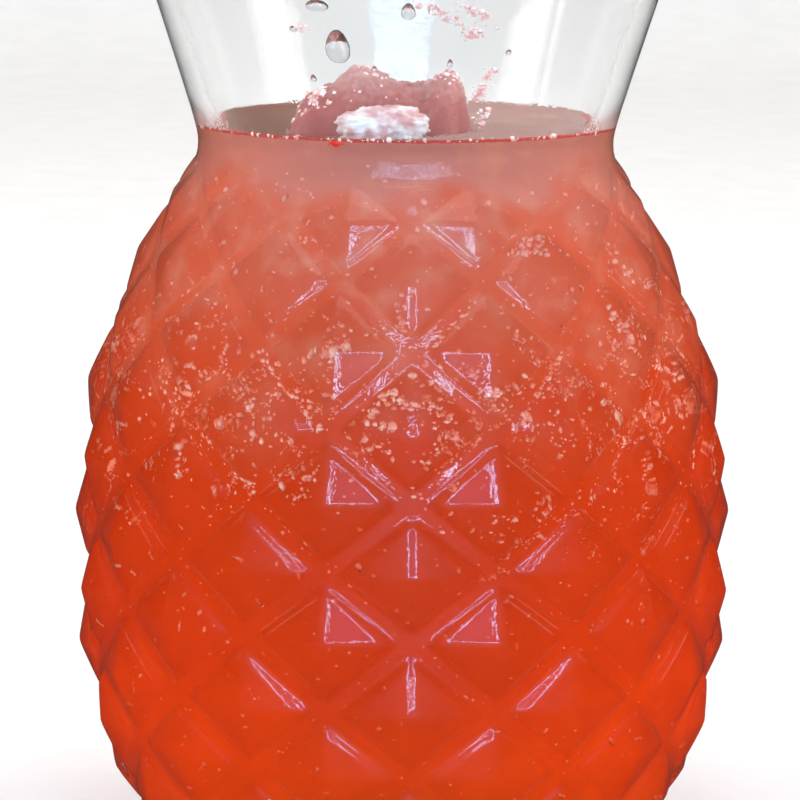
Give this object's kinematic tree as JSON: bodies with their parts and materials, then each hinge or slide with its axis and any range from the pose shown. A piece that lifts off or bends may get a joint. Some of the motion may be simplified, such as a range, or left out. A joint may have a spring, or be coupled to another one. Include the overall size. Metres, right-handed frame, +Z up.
{
  "type": "strawberry lemonade in glass",
  "caption": "Iced strawberry lemonade with a heap of slush, filling a pressed glass tumbler with a barrel of raised diamonds, a narrow waist and a plain flared collar",
  "frame": {"origin": "middle of the flat foot, at the height it rests on", "axes": "+Z up along the axis of the glass, -Y towards the side the picture shows, +X to the right in the picture"},
  "size_m": [0.0908, 0.0908, 0.15],
  "materials": {
    "clear_glass": "clear pressed soda-lime glass, fire polished, slightly rounded edges",
    "drink": "cloudy red-orange drink, greyer pink under the level, deeper towards the foot, with pale specks of ice",
    "slush": "wet pink-red slush with small bright ice grains",
    "ice": "cloudy white wet ice"
  },
  "bodies": {
    "root": {"glass": "clear_glass", "lemonade": "drink", "slush_mound": "slush", "ice_lump": "ice"}
  },
  "joints": []
}
